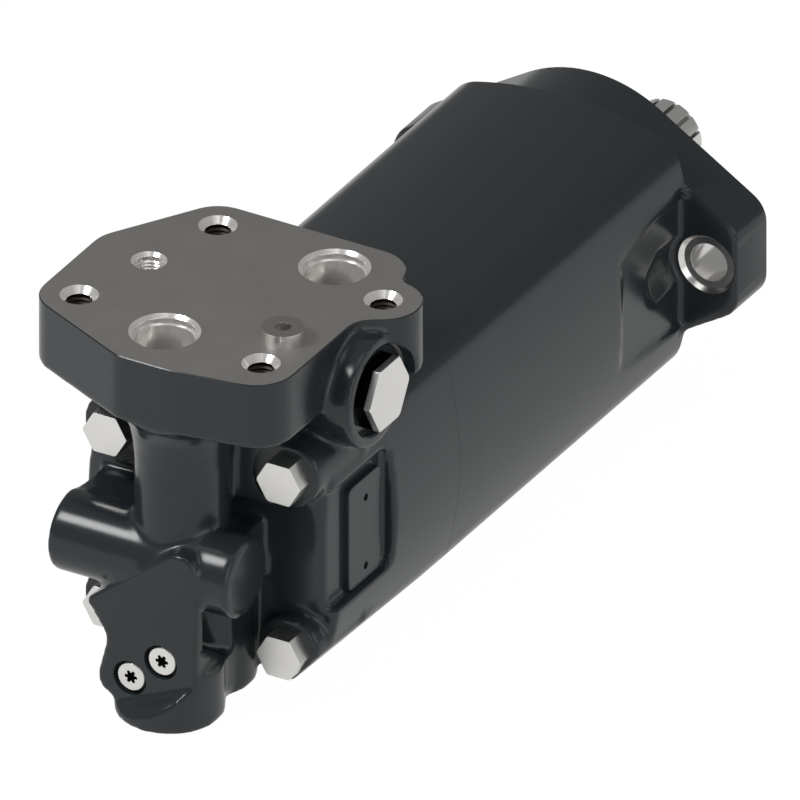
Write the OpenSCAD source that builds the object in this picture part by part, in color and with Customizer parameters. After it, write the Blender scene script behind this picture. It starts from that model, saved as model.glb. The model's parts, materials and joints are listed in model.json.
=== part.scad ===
// Orbital hydraulic motor with a two-bolt flange, a bolted geroler section
// and a valve housing that carries a four-bolt port manifold.
// X runs along the shaft toward its free end, Z is up through the port face.
// The origin is the centre of the flange mounting face.

/* [Body] */
// half width of the rounded square body across its flat sides
body_half = 47.5; // [47:0.1:48.5]
// radius of the gently bowed body sides
side_r = 130; // [125:1:150]
// radius of the body corners
corner_r = 14; // [13:0.1:14.5]
// distance from the mounting face to the front seam
seam_front = 155.4; // [154:0.1:157]
// thickness of the geroler ring between the two seams
ring_t = 14.1; // [13:0.1:15]
// distance from the mounting face to the rear shoulder of the barrel
barrel_end = 248; // [247:0.1:249]
// radius of the rounded rear edge of the barrel
end_round = 17; // [15:0.5:18]

/* [Flange] */
// thickness of the mounting flange
flange_t = 19.6; // [18:0.1:21]
// radius of the round middle of the flange
flange_r = 46.9; // [46.6:0.1:48]
// half length of the flange over its two ears
flange_half = 64.4; // [64:0.1:66]
// radius of the ear corners
ear_r = 10; // [8:0.1:11]
// height of the ear corner centres off the middle
ear_z = 9.7; // [9:0.1:10]
// distance between the two flange bolt holes
flange_pitch = 106.4; // [105:0.1:108]
// diameter of the two flange bolt holes
flange_hole_d = 13.6; // [13:0.1:14]
// diameter of the machined spot faces behind the ears
spot_d = 18.7; // [18:0.1:20]
// depth of the machined spot faces
spot_depth = 1.6; // [1:0.1:2]
// diameter of the pilot spigot
pilot_d = 82.55; // [82:0.05:83]
// length of the pilot spigot
pilot_h = 6.35; // [6:0.05:7]

/* [Through bolts] */
// distance of each through bolt from both middle planes
bolt_off = 32.4; // [32.2:0.1:32.6]
// diameter of a through bolt
bolt_d = 9.4; // [9:0.1:9.5]
// gap round a through bolt in its hole
bolt_gap = 0.3; // [0.1:0.05:0.4]
// width of a bolt head across its flats
bolt_af = 14.3; // [14:0.1:14.6]
// height of a bolt head
bolt_head = 6.3; // [6:0.1:6.6]
// distance from the mounting face to the bolt seats
bolt_seat = 254.7; // [254:0.1:256]
// length of bolt inside the front housing
bolt_grip = 24; // [20:1:28]
// radius of a bolt boss
boss_r = 11.4; // [11:0.1:12]

/* [Geroler] */
// radius of the circle of roller centres
roller_pitch = 29.5; // [29.4:0.1:29.6]
// radius of one roller
roller_r = 6.2; // [6.1:0.05:6.3]
// offset of the rotor centre from the shaft axis
orbit_e = 2.5; // [2.4:0.05:2.55]
// number of rollers
rollers = 7; // [7:1:7]
// radius of the ring bore between the rollers
ring_bore = 28.7; // [28.6:0.1:28.8]
// running gap between a roller and the rotor
lobe_gap = 0.08; // [0.05:0.01:0.12]
// running gap between a roller and its pocket
pocket_gap = 0.04; // [0.03:0.01:0.06]
// side gap of the rotor in the ring
face_gap = 0.05; // [0.03:0.01:0.08]

/* [Shaft] */
// reach of the shaft in front of the mounting face
shaft_out = 49; // [48:0.1:52]
// outside diameter of the shaft end
shaft_d = 24.8; // [24:0.1:25.4]
// length of the toothed shaft end
spline_len = 34; // [30:0.5:36]
// number of teeth on the shaft end
shaft_teeth = 13; // [12:1:15]
// depth of the grooves on the shaft end
tooth_h = 1.5; // [1.2:0.1:1.8]
// diameter of the seal journal
journal_d = 28; // [27:0.1:29]
// diameter of the front bearing journal
front_d = 34; // [33:0.1:35]
// diameter of the shaft shoulder
shoulder_d = 52; // [51:0.1:53]
// diameter of the rear bearing journal
rear_d = 42; // [41:0.1:43]
// distance from the mounting face to the rear end of the shaft
shaft_rear = 118; // [116:0.5:120]

/* [Drive splines] */
// number of teeth on the drive links
link_teeth = 12; // [10:1:12]
// core radius of the main link head
link_core = 10.5; // [10.2:0.1:10.6]
// tooth tip radius of the main link head
link_tip = 12.6; // [12.4:0.1:12.7]
// tooth width of the main link
tooth_w = 2.9; // [2.6:0.1:3]
// side gap of a link tooth in its groove
tooth_gap = 0.1; // [0.06:0.01:0.15]
// radial gap round the link head
head_gap = 0.55; // [0.5:0.05:0.7]

/* [Bearings and seals] */
// bore radius of the front housing behind the seals
bearing_bore = 28; // [27.8:0.1:28.2]
// bore radius of the seal cavity
seal_bore = 21; // [20.5:0.1:21.5]
// running gap in the bearings
bearing_gap = 0.04; // [0.03:0.01:0.06]
// gap between the seal lips and the journal
lip_gap = 0.03; // [0.02:0.01:0.05]

/* [Manifold] */
// height of the port face above the shaft axis
port_z = 79.4; // [78.5:0.1:80.5]
// thickness of the manifold plate
plate_t = 24.3; // [23.5:0.1:24.8]
// mouth diameter of a port
port_mouth = 23.7; // [23:0.1:24]
// diameter of the seal recess of a port
port_d = 21.2; // [20.8:0.1:21.6]
// depth of the seal recess of a port
port_depth = 3.4; // [2.8:0.1:4]
// diameter of a port bore
port_inner = 19.8; // [19:0.1:20.4]
// depth of a port bore
port_deep = 16; // [14:0.5:20]
// diameter of the passage under a port bore
port_bore = 13; // [12:0.1:13.5]
// tapping diameter of the four mounting holes
tap_d = 8.5; // [8.4:0.1:8.8]
// mouth diameter of the four mounting holes
tap_mouth = 12.8; // [12:0.1:13]
// depth of the four mounting holes
tap_depth = 17.5; // [15:0.5:18]
// diameter of the drain hole
drain_d = 9.4; // [9:0.1:10]
// mouth diameter of the drain hole
drain_mouth = 11.9; // [11.4:0.1:12.6]
// diameter of the locating pin
pin_d = 13.8; // [13:0.1:14]
// height of the locating pin above the port face
pin_up = 4.7; // [4:0.1:5]
// diameter of the pressed shank of the locating pin
pin_shank_d = 11; // [10:0.1:12]
// diameter of the socket in the locating pin
pin_socket_d = 5.4; // [5:0.1:6]

/* [Shuttle valve] */
// distance from the mounting face to the shuttle bore
shuttle_x = 227.7; // [227.4:0.1:228]
// height of the shuttle bore
shuttle_z = 56.1; // [55.8:0.1:56.4]
// width of the hexagon plug across its flats
plug_af = 22.2; // [21.8:0.1:22.6]
// bore radius of the shuttle spool
shuttle_r = 6; // [5.8:0.1:6.2]

/* [Selector valve] */
// distance from the mounting face to the selector bore
selector_x = 270; // [269.6:0.1:270.4]
// outside radius of the cross cylinder
cross_r = 13.8; // [13.5:0.1:14.2]
// bore radius of the selector spool
selector_r = 6.5; // [6.3:0.1:6.7]

/* [Name pad] */
// distance between the two small pad holes
pad_pitch = 25.4; // [24:0.1:26]
// diameter of the small pad holes
pad_hole_d = 2.6; // [2.2:0.1:3]

/* [Hidden] */
$fn = 96;
seam_rear = seam_front + ring_t;
plate_z = port_z - plate_t;
paint = [0.21, 0.22, 0.23];
steel = [0.72, 0.72, 0.7];
bronze = [0.75, 0.6, 0.35];
rubber = [0.1, 0.1, 0.1];
// tapped holes of the port face as x, y
taps = [[-195.7, 27.7], [-257, 44.1], [-266, -29], [-210.7, -42.7]];
// ports and drain of the port face as x, y
port_a = [-200.2, -18.5];
port_b = [-263.7, 8.3];
drain = [-226.6, 35.6];
pin_at = [-249, -27.4];
// shallow seat of the pin collar in the port face
pin_seat = 0.1;
// bores inside the front housing
seal_floor = 9;
thrust_x = 30.2;
thrust_t = 5;
shoulder_x = thrust_x + thrust_t + 0.05;
rear_front = 92;
rear_back = 112;
housing_chamber = 26;
// drive pivots
pivot_shaft = 104;
pivot_star = 159.3;
pivot_rear = 167.6;
pivot_disc = 199;
// valve stack behind the rear seam
vplate_t = 8;
vplate_r = 33;
disc_r = 28.5;
disc_front = seam_rear + vplate_t + 0.1;
disc_t = 8;
hub_r = 19.8;
disc_end = 203;
ring_front = disc_front + disc_t + 0.06;
bal_t = 8;
bal_r = 27.45;
chamber_end = 204.5;

// turns a drawing in y and z into a solid from x0 to x1
module along_x(x0, x1) {
  translate([x0, 0, 0])
    rotate([90, 0, 90])
      linear_extrude(x1 - x0)
        children();
}

// round bar along x
module bar_x(r, x0, x1, y = 0, z = 0) {
  translate([x0, y, z])
    rotate([0, 90, 0])
      cylinder(r = r, h = x1 - x0);
}

// round bar along y
module bar_y(r, y0, y1, x = 0, z = 0) {
  translate([x, y0, z])
    rotate([-90, 0, 0])
      cylinder(r = r, h = y1 - y0);
}

// turned shape about the x axis from points of x and radius
module turned_x(pts) {
  rotate([0, 90, 0])
    rotate_extrude()
      polygon([for (p = pts) [p[1], p[0]]]);
}

// outline round a loop of corner circles [x, y, r], a negative r for an inside corner
function turn(a, b) = atan2(b[1] - a[1], b[0] - a[0]) - asin((b[2] - a[2]) / norm([b[0] - a[0], b[1] - a[1]]));
function left(t) = [-sin(t), cos(t)];
function at(c, t) = [c[0], c[1]] - c[2] * left(t);
module cap(a, b, r) {
  l = norm(b - a);
  n = [b[1] - a[1], a[0] - b[0]] / l;
  q = r > 0 ? 1 : -1;
  s = abs(r);
  h = sqrt(s * s - l * l / 4);
  intersection() {
    translate((a + b) / 2 - n * h * q)
      circle(s);
    polygon([a, b, b + n * q * s, a + n * q * s]);
  }
}
module outline(loop) {
  c = len(loop);
  ins = [for (i = [0:c - 1]) at(loop[i], turn(loop[(i + c - 1) % c], loop[i]))];
  outs = [for (i = [0:c - 1]) at(loop[i], turn(loop[i], loop[(i + 1) % c]))];
  difference() {
    union() {
      polygon([for (i = [0:c - 1]) for (k = [0, 1]) k == 0 ? ins[i] : outs[i]]);
      for (i = [0:c - 1]) {
        if (loop[i][2] > 0)
          cap(ins[i], outs[i], loop[i][2]);
      }
    }
    for (i = [0:c - 1]) {
      if (loop[i][2] < 0)
        cap(ins[i], outs[i], loop[i][2]);
    }
  }
}

// bowed square section of the body
module body_section() {
  a = side_r - body_half;
  d = (side_r - corner_r) * 1.0001;
  q = (sqrt(2 * d * d - a * a) - a) / 2;
  outline([[-a, 0, side_r], [q, q, corner_r], [0, -a, side_r], [-q, q, corner_r],
    [a, 0, side_r], [-q, -q, corner_r], [0, a, side_r], [q, -q, corner_r]]);
}

module flange_section() {
  e = flange_half - ear_r;
  outline([[e, -ear_z, ear_r], [e, ear_z, ear_r], [0, 0, flange_r],
    [-e, ear_z, ear_r], [-e, -ear_z, ear_r], [0, 0, flange_r]]);
}

// one copy at each through bolt
module at_bolts() {
  for (y = [-1, 1])
    for (z = [-1, 1])
      translate([0, y * bolt_off, z * bolt_off])
        children();
}

// straight grooves inside a splined bore
module groove_ring(x0, x1, core, tip, w, teeth) {
  for (i = [0:teeth - 1])
    rotate([i * 360 / teeth, 0, 0])
      translate([x0, core, -w / 2])
        cube([x1 - x0, tip - core, w]);
}

// crowned head of a drive link between x0 and x1
module link_head(x0, x1, core, tip, w, ease, teeth) {
  m = (x0 + x1) / 2;
  turned_x([[x0, 0], [x0, core - ease], [m, core], [x1, core - ease], [x1, 0]]);
  intersection() {
    turned_x([[x0, core - 2], [x0, tip - ease], [m, tip], [x1, tip - ease], [x1, core - 2]]);
    for (i = [0:teeth - 1])
      rotate([i * 360 / teeth, 0, 0])
        translate([0, core - 2, 0])
          rotate([-90, 0, 0])
            linear_extrude(tip - core + 3)
              polygon([[x0, ease - w / 2], [m, -w / 2], [x1, ease - w / 2],
                [x1, w / 2 - ease], [m, w / 2], [x0, w / 2 - ease]]);
  }
}

// coil spring along z with closed end coils
module coil(r, wire, length, turns) {
  seg = 12;
  sec = 6;
  dead = 1.2;
  n = turns * seg;
  pitch_end = wire * 1.06;
  live = (length - wire - 2 * dead * pitch_end) / (turns - 2 * dead);
  function rise(t) = t < dead ? t * pitch_end : t > turns - dead ?
    length - wire - (turns - t) * pitch_end : dead * pitch_end + (t - dead) * live;
  polyhedron(
    points = [for (i = [0:n]) for (k = [0:sec - 1])
      let (a = i * 360 / seg, b = k * 360 / sec, d = r + wire / 2 * cos(b))
        [d * cos(a), d * sin(a), wire / 2 + rise(i / seg) + wire / 2 * sin(b)]],
    faces = concat([[for (k = [0:sec - 1]) k]],
      [for (i = [0:n - 1]) for (k = [0:sec - 1])
        [i * sec + k, (i + 1) * sec + k, (i + 1) * sec + (k + 1) % sec, i * sec + (k + 1) % sec]],
      [[for (k = [0:sec - 1]) n * sec + sec - 1 - k]]));
}

// main casting with the mounting flange and the shaft bores
module front_housing() {
  color(paint)
    difference() {
      union() {
        difference() {
          along_x(-seam_front, -flange_t + 0.5)
            body_section();
          for (s = [-1, 1]) {
            side_ramp(s);
          }
        }
        along_x(-flange_t, 0)
          flange_section();
        turned_x([[-1, 0], [-1, pilot_d / 2], [pilot_h - 0.8, pilot_d / 2],
          [pilot_h, pilot_d / 2 - 0.8], [pilot_h, 0]]);
      }
      for (s = [-1, 1]) {
        bar_x(flange_hole_d / 2, -flange_t - 1, 1, s * flange_pitch / 2);
        bar_x(spot_d / 2, -flange_t - 8, -flange_t + spot_depth, s * flange_pitch / 2);
      }
      bar_x(seal_bore, -seal_floor, pilot_h + 1);
      bar_x(seal_bore + 1.4, -1.1, 0.5);
      bar_x(bearing_bore, -rear_back - 3, -seal_floor);
      bar_x(housing_chamber, -seam_front - 1, -rear_back);
      at_bolts()
        bar_x(bolt_d / 2 + 0.05, -seam_front - 1, -seam_front + bolt_grip + 3);
      seal_groove(-seam_front - 1, -seam_front + 1.5);
    }
}

module side_ramp(s) {
  // clearance for a spanner behind the flange ear
  far = body_half + 16;
  near = body_half - 4.6;
  rear = body_half - 1.6;
  translate([0, 0, -23])
    linear_extrude(46)
      polygon([[-63.5, s * rear], [-flange_t, s * near], [-flange_t, s * far], [-63.5, s * far]]);
  bar_x(13.5, -40, -flange_t, s * flange_pitch / 2);
  translate([-40, s * flange_pitch / 2, 0])
    sphere(13.5);
}

module seal_groove(x0, x1) {
  difference() {
    bar_x(39.6, x0, x1);
    bar_x(37, x0 - 1, x1 + 1);
  }
}

// stationary outer ring with a pocket for each roller
module geroler_ring() {
  color(paint)
    difference() {
      along_x(-seam_rear, -seam_front)
        body_section();
      bar_x(ring_bore, -seam_rear - 1, -seam_front + 1);
      at_rollers()
        bar_x(roller_r + pocket_gap, -seam_rear - 1, -seam_front + 1);
      at_bolts()
        bar_x(bolt_d / 2 + bolt_gap, -seam_rear - 1, -seam_front + 1);
    }
}

module at_rollers() {
  for (i = [0:rollers - 1])
    rotate([i * 360 / rollers, 0, 0])
      translate([0, roller_pitch, 0])
        children();
}

module geroler_rollers() {
  color(steel)
    at_rollers()
      bar_x(roller_r, -seam_rear + face_gap, -seam_front - face_gap);
}

// point of the rotor outline at angle t
function lobe(t) = let (
  m = [-roller_pitch * sin(t) + rollers * orbit_e * sin(rollers * t),
    roller_pitch * cos(t) - rollers * orbit_e * cos(rollers * t)])
  [roller_pitch * cos(t) - orbit_e * cos(rollers * t), roller_pitch * sin(t) - orbit_e * sin(rollers * t)]
  + (roller_r + lobe_gap) * [-m[1], m[0]] / norm(m);

// six-lobed rotor, stored with its centre one offset toward +y
module rotor_star() {
  color(steel)
    translate([0, orbit_e, 0])
      difference() {
        along_x(-seam_rear + face_gap, -seam_front - face_gap)
          polygon([for (i = [0:179]) lobe(i * 2)]);
        bar_x(link_core + head_gap, -seam_rear - 1, -seam_front + 1);
        groove_ring(-seam_rear - 1, -seam_front + 1, link_core,
          link_tip + head_gap, tooth_w + 2 * tooth_gap, link_teeth);
      }
}

module drive_spacer() {
  color(steel)
    translate([0, orbit_e, 0])
      bar_x(link_core + head_gap - 0.15, -164.5, -163.7);
}

module drive_link() {
  color(steel)
    translate([-pivot_shaft, 0, 0])
      rotate([0, 0, -atan(orbit_e / (pivot_star - pivot_shaft))])
        translate([pivot_shaft, 0, 0])
          union() {
            link_head(-pivot_shaft - 7, -pivot_shaft + 7, link_core, link_tip, tooth_w, 0.35, link_teeth);
            bar_x(8.2, -pivot_star, -pivot_shaft);
            link_head(-pivot_star - 3.5, -pivot_star + 3.5, link_core, link_tip, tooth_w, 0.25, link_teeth);
          }
}

module valve_drive() {
  color(steel)
    translate([-pivot_disc, 0, 0])
      rotate([0, 0, atan(orbit_e / (pivot_disc - pivot_rear))])
        translate([pivot_disc, 0, 0])
          union() {
            link_head(-pivot_rear - 1.7, -pivot_rear + 1.7, link_core, link_tip, tooth_w, 0.25, link_teeth);
            bar_x(6.6, -pivot_disc, -pivot_rear);
            link_head(-pivot_disc - 4, -pivot_disc + 4, 8.4, 10.3, 2.4, 0.42, link_teeth);
          }
}

// rotating face valve behind the stationary plate
module disc_valve() {
  color(steel)
    difference() {
      union() {
        bar_x(disc_r, -disc_front - disc_t, -disc_front);
        bar_x(hub_r, -disc_end, -disc_front - 1);
      }
      bar_x(13.2, -disc_front - 9, -disc_front + 1);
      bar_x(9.1, -disc_end - 1, -disc_front);
      groove_ring(-disc_end - 1, -disc_front - 6, 8, 11, 2.7, link_teeth);
      for (i = [0:5]) {
        rotate([i * 60, 0, 0])
          bar_x(2.6, -disc_front - disc_t - 1, -disc_front + 1, 23.4);
        rotate([i * 60 + 30, 0, 0])
          translate([-disc_front - 4, 23.4, -2.6])
            cube([5, 8, 5.2]);
      }
    }
}

module valve_plate() {
  color(steel)
    difference() {
      bar_x(vplate_r, -seam_rear - vplate_t, -seam_rear - 0.05);
      bar_x(15.5, -seam_rear - vplate_t - 1, -seam_rear + 1);
      for (i = [0:rollers - 1])
        rotate([(i + 0.5) * 360 / rollers, 0, 0])
          bar_x(2.8, -seam_rear - vplate_t - 1, -seam_rear + 1, 24.4);
    }
}

module balance_ring() {
  color(bronze)
    difference() {
      bar_x(bal_r, -ring_front - bal_t, -ring_front);
      bar_x(hub_r + 0.3, -ring_front - bal_t - 1, -ring_front + 1);
      difference() {
        bar_x(bal_r + 1, -ring_front - bal_t + 2, -ring_front - bal_t + 4.4);
        bar_x(bal_r - 1.7, -ring_front - bal_t + 1, -ring_front - bal_t + 5);
      }
      for (i = [0:5])
        rotate([i * 60 + 15, 0, 0])
          bar_x(1.6, -ring_front - bal_t - 1, -ring_front + 1, 23.4);
    }
}

module balance_seal() {
  color(rubber)
    ring_x(bal_r - 0.84, 0.8, -ring_front - bal_t + 3.2);
}

// rubber ring of section radius s about the x axis
module ring_x(r, s, x) {
  translate([x, 0, 0])
    rotate([0, 90, 0])
      rotate_extrude()
        translate([r, 0])
          circle(s, $fn = 32);
}

module balance_springs() {
  color(steel)
    for (i = [0:3])
      rotate([i * 90, 0, 0])
        translate([-chamber_end + 0.1, 0, 23.7])
          rotate([0, 90, 0])
            coil(2.4, 0.7, chamber_end - ring_front - bal_t - 0.2, 5);
}

module seam_seals() {
  color(rubber) {
    ring_x(38.3, 0.74, -seam_front + 0.76);
    ring_x(38.3, 0.74, -seam_rear - 0.76);
  }
}

module housing_bolts() {
  color(steel)
    at_bolts() {
      bar_x(bolt_d / 2, -bolt_seat - 1, -seam_front + bolt_grip);
      translate([-bolt_seat - bolt_head, 0, 0])
        rotate([90, 0, 90])
          intersection() {
            cylinder(r = bolt_af / sqrt(3), h = bolt_head, $fn = 6);
            rotate_extrude($fn = 96)
              polygon([[0, 0], [bolt_af / 2 + 0.75, 0], [bolt_af / 2 + 1.4, 0.35],
                [bolt_af / 2 + 1.4, bolt_head], [0, bolt_head]]);
          }
    }
}

// race with a row of needles between ra and rb
module needle_row(x0, x1, r_shaft, r_race, r_out, count) {
  nr = (r_race - r_shaft) / 2 - bearing_gap;
  difference() {
    bar_x(r_out, x0, x1);
    bar_x(r_race, x0 - 1, x1 + 1);
  }
  for (i = [0:count - 1])
    rotate([i * 360 / count, 0, 0])
      bar_x(nr, x0 + 1.5, x1 - 1.5, (r_race + r_shaft) / 2);
}

module front_bearing() {
  color(steel)
    needle_row(-thrust_x + 0.1, -seal_floor - 0.1, front_d / 2, 23.4, bearing_bore - 0.02, 18);
}

module rear_bearing() {
  color(steel)
    needle_row(-rear_back + 0.1, -rear_front, rear_d / 2, 25.4, bearing_bore - 0.02, 26);
}

module thrust_bearing() {
  color(steel) {
    for (x = [-thrust_x - thrust_t, -thrust_x - 1.1])
      difference() {
        bar_x(25.8, x, x + 1);
        bar_x(front_d / 2 + 0.4, x - 1, x + 2);
      }
    for (i = [0:23])
      rotate([i * 15, 0, 0])
        translate([-thrust_x - thrust_t / 2 - 0.05, 19.2, 0])
          rotate([-90, 0, 0])
            cylinder(r = 1.38, h = 5);
  }
}

module shaft_seal() {
  color(rubber)
    turned_x([[-8.8, seal_bore - 0.02], [-2.6, seal_bore - 0.02], [-2.6, 17], [-3.4, 15.2],
      [-4.4, journal_d / 2 + lip_gap], [-5.2, 15], [-5.2, 18.6], [-8.8, 18.6]]);
}

module backup_washer() {
  color(steel)
    difference() {
      bar_x(seal_bore - 0.1, -2.5, -1.2);
      bar_x(journal_d / 2 + 0.6, -4, 1);
    }
}

module retaining_ring() {
  color(steel)
    difference() {
      bar_x(seal_bore + 1.3, -1.1, 0.4);
      bar_x(seal_bore - 2.4, -3, 2);
      translate([-3, -1.6, 0])
        cube([6, 3.2, 40]);
    }
}

module dust_seal() {
  color(rubber)
    turned_x([[0.7, seal_bore - 0.02], [5.4, seal_bore - 0.02], [5.4, 18.4], [6.2, 17], [6.2, 14.9],
      [5.2, journal_d / 2 + lip_gap], [4.2, 15.2], [4.2, 17], [0.7, 17]]);
}

module output_shaft() {
  color(steel)
    difference() {
      turned_x([[shaft_out, 0], [shaft_out, shaft_d / 2 - 1.2], [shaft_out - 1.2, shaft_d / 2],
        [shaft_out - spline_len, shaft_d / 2], [shaft_out - spline_len, shaft_d / 2 - 0.2],
        [12, shaft_d / 2 - 0.2], [11, journal_d / 2], [-seal_floor, journal_d / 2],
        [-seal_floor, front_d / 2], [-shoulder_x, front_d / 2], [-shoulder_x, shoulder_d / 2],
        [-rear_front + 1, shoulder_d / 2], [-rear_front + 1, rear_d / 2],
        [-shaft_rear, rear_d / 2], [-shaft_rear, 0]]);
      for (i = [0:shaft_teeth - 1])
        rotate([90 + (i + 0.5) * 360 / shaft_teeth, 0, 0])
          translate([shaft_out - spline_len - 0.6, shaft_d / 2 - tooth_h, -0.7])
            cube([spline_len + 2, 4, 1.4]);
      bar_x(link_core + head_gap, -shaft_rear - 1, -pivot_shaft + 14);
      bar_x(9, -pivot_shaft, -pivot_shaft + 30);
      groove_ring(-shaft_rear - 1, -pivot_shaft + 11, link_core, link_tip + head_gap,
        tooth_w + 2 * tooth_gap, link_teeth);
      translate([-pivot_shaft + 24, 0, -40])
        cylinder(r = 2.5, h = 80);
    }
}

// valve casting with the barrel, the port manifold and the cross cylinder
module plate_outline() {
  outline([[taps[1][0] + 0.6, taps[1][1], 13.4], [-275, 12, 10], [-245, -2, 40],
    [taps[2][0] - 1.5, taps[2][1] + 1, 13.8], [-231.5, -50.8, -9],
    [taps[3][0], taps[3][1], 13], [-195.6, -43.5, -2], [-197, -27.5, 13.9],
    [taps[0][0], taps[0][1], 12.8], [-224, 44.1, 13.4]]);
}

module lower_outline() {
  outline([[23, -15.6, 2.2], [-8.9, 3.6, 7], [-13.5, -48, 2], [9, -48, 4],
    [15.5, -42, 6], [26.5, -28.5, -8]]);
}

// block face recess beside the cross cylinder
module block_pocket() {
  translate([0, -6, 0])
    rotate([90, 0, 0])
      linear_extrude(12)
        polygon([[-286, -8], [-286, -20.2], [-266, -33.5], [-262, -33.5], [-262, -8]]);
}

// sloping front of the lower drum, clear of the gallery plugs
module drum_slope() {
  intersection() {
    translate([-324, -40, -70])
      cube([40, 80, 60]);
    translate([-284, 0, -43])
      rotate([-21.2, -31, 0])
        translate([-40, -40, 0])
          cube([80, 80, 40]);
  }
}

// barrel with a rounded rear edge
module barrel() {
  out = 1.2 * body_half;
  mid = end_round - barrel_end;
  intersection() {
    along_x(-barrel_end - 1, -seam_rear)
      body_section();
    rotate([0, 90, 0])
      rotate_extrude()
        union() {
          polygon([[0, -barrel_end], [out - end_round, -barrel_end], [out - end_round, mid],
            [out, mid], [out, 1 - seam_rear], [0, 1 - seam_rear]]);
          intersection() {
            translate([out - end_round, mid])
              circle(end_round);
            translate([out - end_round, mid - end_round - 1])
              square([end_round + 1, end_round + 1]);
          }
        }
  }
}

module manifold() {
  translate([0, 0, plate_z])
    linear_extrude(plate_t)
      plate_outline();
  // pedestal between the plate and the barrel
  translate([0, 0, 20])
    linear_extrude(plate_z - 19)
      outline([[-250, 30, 6], [-250, -24, 6], [-198, -24, 6], [-198, 22, 6], [-222, 36, 6]]);
}

module valve_housing() {
  color(paint)
    difference() {
      union() {
        barrel();
        manifold();
        // neck under the second port
        translate([-264, 1.4, 0])
          cylinder(r = 15.7, h = plate_z + 1);
        // through bolt bosses
        at_bolts()
          bar_x(boss_r, -bolt_seat, -225);
        // cross cylinder of the selector spool
        bar_y(cross_r, -26, 41, -selector_x, 0);
        along_x(-selector_x, -barrel_end + 2)
          square([40, 20], center = true);
        // lower block with two drums
        difference() {
          along_x(-284, -252)
            lower_outline();
          block_pocket();
        }
        difference() {
          translate([-274.7, 0, -53.5])
            cylinder(r = 18, h = 20);
          drum_slope();
        }
        translate([-252, 0, -51.6])
          cylinder(r = 17, h = 40);
        // shuttle boss
        bar_y(19.4, -50.7, -20, -shuttle_x, shuttle_z - 0.4);
      }
      bar_x(vplate_r + 0.05, -seam_rear - vplate_t - 0.05, -seam_rear + 1);
      bar_x(30.5, -ring_front - 0.5, -seam_rear);
      bar_x(27.5, -chamber_end, -seam_rear);
      seal_groove(-seam_rear - 1.5, -seam_rear + 1);
      at_bolts() {
        bar_x(bolt_d / 2 + bolt_gap, -270, -seam_rear + 1);
        bar_x(9.2, -262, -bolt_seat);
      }
      // taps, ports, drain and pin socket
      for (t = taps)
        translate([t[0], t[1], port_z])
          face_hole(tap_d, tap_mouth, tap_depth);
      port(port_a, 14);
      port(port_b, 0);
      translate([drain[0], drain[1], port_z])
        face_hole(drain_d, drain_mouth, 16);
      translate([drain[0], drain[1], 36])
        cylinder(r = 3, h = 30);
      translate([pin_at[0], pin_at[1], port_z - 9])
        cylinder(r = pin_shank_d / 2 + 0.02, h = 20);
      translate([pin_at[0], pin_at[1], port_z - pin_seat])
        cylinder(r = pin_d / 2 + 0.02, h = 5);
      // shuttle bore and plug seat
      bar_y(shuttle_r, -46, 19, -shuttle_x, shuttle_z);
      bar_y(9.3, -52, -38, -shuttle_x, shuttle_z);
      bar_y(15.5, -56, -47.6, -shuttle_x, shuttle_z);
      // selector bore and gallery
      bar_y(selector_r, -20, 42, -selector_x, 0);
      bar_y(8.6, 33, 42, -selector_x, 0);
      bar_x(4.5, -selector_x, -chamber_end + 1);
      // gallery plugs in the lower block
      for (g = gallery_at) {
        bar_x(5.5, -285, -277.5, g[0], g[1]);
        bar_x(3, -285, -262, g[0], g[1]);
      }
      name_pad();
    }
}

gallery_at = [[9.2, -39.8], [-2.3, -30.8]];

module face_hole(d, mouth, depth) {
  translate([0, 0, -depth])
    cylinder(d = d, h = depth + 1);
  e = (mouth - d) / 2;
  translate([0, 0, -e])
    cylinder(d1 = d, d2 = mouth, h = e);
  cylinder(d = mouth, h = 1);
}

module port(p, floor_z) {
  translate([p[0], p[1], floor_z])
    cylinder(d = port_bore, h = port_z - floor_z + 1);
  e = (port_mouth - port_d) / 2;
  translate([p[0], p[1], port_z]) {
    translate([0, 0, -port_deep])
      cylinder(d = port_inner, h = port_deep);
    translate([0, 0, -port_depth])
      cylinder(d = port_d, h = port_depth + 1);
    translate([0, 0, -e])
      cylinder(d1 = port_d, d2 = port_mouth, h = e);
    cylinder(d = port_mouth, h = 1);
  }
}

// sunk pocket with a raised pad on the right side of the barrel
module name_pad() {
  difference() {
    intersection() {
      translate([0, 0, -40])
        linear_extrude(80)
          polygon([[-252.6, -body_half - 2], [-247.6, -41.6], [-210.6, -41.6], [-205.6, -body_half - 2]]);
      along_x(-256, -204)
        polygon([[-body_half - 2, -26], [-41.6, -19], [-41.6, 22.4], [-body_half - 2, 29.4]]);
    }
    along_x(-235, -214.5)
      outline([[-40, -15.5, 2.5], [-40, 18, 2.5], [-41.5, 18, 2.5], [-41.5, -15.5, 2.5]]);
  }
  for (s = [-1, 1])
    bar_y(pad_hole_d / 2, -48, -38, -224.1, s * pad_pitch / 2);
}

module locating_pin() {
  color(steel)
    difference() {
      translate([pin_at[0], pin_at[1], port_z]) {
        translate([0, 0, -8.9])
          cylinder(d = pin_shank_d, h = 9);
        translate([0, 0, -pin_seat])
          cylinder(d = pin_d, h = pin_up + pin_seat);
      }
      translate([pin_at[0], pin_at[1], port_z - 1])
        cylinder(d = pin_socket_d, h = pin_up + 2);
    }
}

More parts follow.
